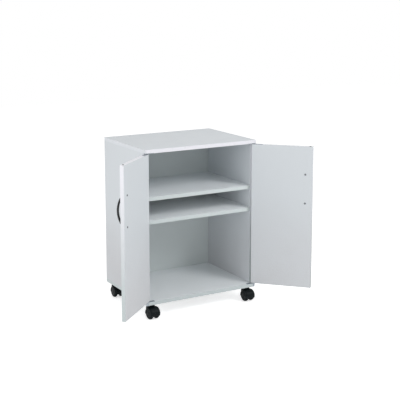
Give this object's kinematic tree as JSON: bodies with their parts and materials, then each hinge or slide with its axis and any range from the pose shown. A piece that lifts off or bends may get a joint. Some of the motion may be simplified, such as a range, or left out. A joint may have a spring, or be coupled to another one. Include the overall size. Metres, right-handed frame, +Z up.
{
  "type": "utility cart",
  "caption": "Light grey cabinet on swivel twin-wheel casters, with shelves behind hinged doors on pivot hinges and black bow handles.",
  "frame": {"origin": "on the floor, under the middle of the cabinet's closed outline", "axes": "+X to the cart's right as seen from its doors, +Y to its back, +Z up"},
  "size_m": [0.921, 0.5912, 0.731],
  "materials": {
    "grey_laminate": "fine-pebbled laminate, satin",
    "grey_edging": "smooth satin",
    "back_board": "smooth satin",
    "beech": "raw",
    "clear_support": "satin",
    "hinge_steel": "zinc-plated",
    "magnet": "nickel-plated",
    "black_plastic": "semi-gloss",
    "caster_black": "fine-grained",
    "caster_steel": "black",
    "axle_steel": "turned"
  },
  "bodies": {
    "cabinet": {"top_panel": "grey_laminate", "top_edge_band": "grey_edging", "bottom_panel": "grey_laminate", "bottom_edge_band": "grey_edging", "left_side_panel": "grey_laminate", "right_side_panel": "grey_laminate", "side_edge_bands": "grey_edging", "back_panel": "back_board", "lower_shelf": "grey_laminate", "upper_shelf": "grey_laminate", "shelf_edge_bands": "grey_edging", "shelf_supports": "clear_support", "loose_tenons": "beech", "upper_pivot_brackets": "hinge_steel", "lower_pivot_brackets": "hinge_steel", "catch_strikes": "hinge_steel", "caster_plates": "caster_steel"},
    "left_door": {"left_door_panel": "grey_laminate", "left_door_edge_band": "grey_edging", "left_door_hinge_leaves": "hinge_steel", "left_door_handle": "black_plastic", "left_door_catch_magnet": "magnet"},
    "right_door": {"right_door_panel": "grey_laminate", "right_door_edge_band": "grey_edging", "right_door_hinge_leaves": "hinge_steel", "right_door_handle": "black_plastic", "right_door_catch_magnet": "magnet"},
    "front_left_caster": {"front_left_caster_hood": "caster_black", "front_left_axle": "axle_steel"},
    "front_left_outer_wheel": {"front_left_outer_wheel": "caster_black"},
    "front_left_inner_wheel": {"front_left_inner_wheel": "caster_black"},
    "front_right_caster": {"front_right_caster_hood": "caster_black", "front_right_axle": "axle_steel"},
    "front_right_outer_wheel": {"front_right_outer_wheel": "caster_black"},
    "front_right_inner_wheel": {"front_right_inner_wheel": "caster_black"},
    "rear_left_caster": {"rear_left_caster_hood": "caster_black", "rear_left_axle": "axle_steel"},
    "rear_left_outer_wheel": {"rear_left_outer_wheel": "caster_black"},
    "rear_left_inner_wheel": {"rear_left_inner_wheel": "caster_black"},
    "rear_right_caster": {"rear_right_caster_hood": "caster_black", "rear_right_axle": "axle_steel"},
    "rear_right_outer_wheel": {"rear_right_outer_wheel": "caster_black"},
    "rear_right_inner_wheel": {"rear_right_inner_wheel": "caster_black"}
  },
  "joints": [
    {"name": "left_door_hinge", "type": "hinge", "parent": "cabinet", "child": "left_door", "pos_m": [-0.265, -0.194, 0.397], "axis": [0, 0, 1], "range_deg": [-42, 138]},
    {"name": "right_door_hinge", "type": "hinge", "parent": "cabinet", "child": "right_door", "pos_m": [0.265, -0.194, 0.397], "axis": [0, 0, -1], "range_deg": [-46, 134]},
    {"name": "front_left_swivel", "type": "hinge", "parent": "cabinet", "child": "front_left_caster", "pos_m": [-0.24, -0.173, 0.0485], "axis": [0, 0, 1], "continuous": true},
    {"name": "front_left_outer_wheel_roll", "type": "hinge", "parent": "front_left_caster", "child": "front_left_outer_wheel", "pos_m": [-0.23874, -0.19096, 0.025], "axis": [0.9976, 0.0698, 0], "continuous": true},
    {"name": "front_left_inner_wheel_roll", "type": "hinge", "parent": "front_left_caster", "child": "front_left_inner_wheel", "pos_m": [-0.23874, -0.19096, 0.025], "axis": [0.9976, 0.0698, 0], "continuous": true},
    {"name": "front_right_swivel", "type": "hinge", "parent": "cabinet", "child": "front_right_caster", "pos_m": [0.24, -0.173, 0.0485], "axis": [0, 0, 1], "continuous": true},
    {"name": "front_right_outer_wheel_roll", "type": "hinge", "parent": "front_right_caster", "child": "front_right_outer_wheel", "pos_m": [0.24063, -0.19099, 0.025], "axis": [0.9994, 0.0349, 0], "continuous": true},
    {"name": "front_right_inner_wheel_roll", "type": "hinge", "parent": "front_right_caster", "child": "front_right_inner_wheel", "pos_m": [0.24063, -0.19099, 0.025], "axis": [0.9994, 0.0349, 0], "continuous": true},
    {"name": "rear_left_swivel", "type": "hinge", "parent": "cabinet", "child": "rear_left_caster", "pos_m": [-0.24, 0.173, 0.0485], "axis": [0, 0, 1], "continuous": true},
    {"name": "rear_left_outer_wheel_roll", "type": "hinge", "parent": "rear_left_caster", "child": "rear_left_outer_wheel", "pos_m": [-0.24063, 0.15501, 0.025], "axis": [0.9994, -0.0349, 0], "continuous": true},
    {"name": "rear_left_inner_wheel_roll", "type": "hinge", "parent": "rear_left_caster", "child": "rear_left_inner_wheel", "pos_m": [-0.24063, 0.15501, 0.025], "axis": [0.9994, -0.0349, 0], "continuous": true},
    {"name": "rear_right_swivel", "type": "hinge", "parent": "cabinet", "child": "rear_right_caster", "pos_m": [0.24, 0.173, 0.0485], "axis": [0, 0, 1], "continuous": true},
    {"name": "rear_right_outer_wheel_roll", "type": "hinge", "parent": "rear_right_caster", "child": "rear_right_outer_wheel", "pos_m": [0.24157, 0.15507, 0.025], "axis": [0.9962, 0.0872, 0], "continuous": true},
    {"name": "rear_right_inner_wheel_roll", "type": "hinge", "parent": "rear_right_caster", "child": "rear_right_inner_wheel", "pos_m": [0.24157, 0.15507, 0.025], "axis": [0.9962, 0.0872, 0], "continuous": true}
  ]
}
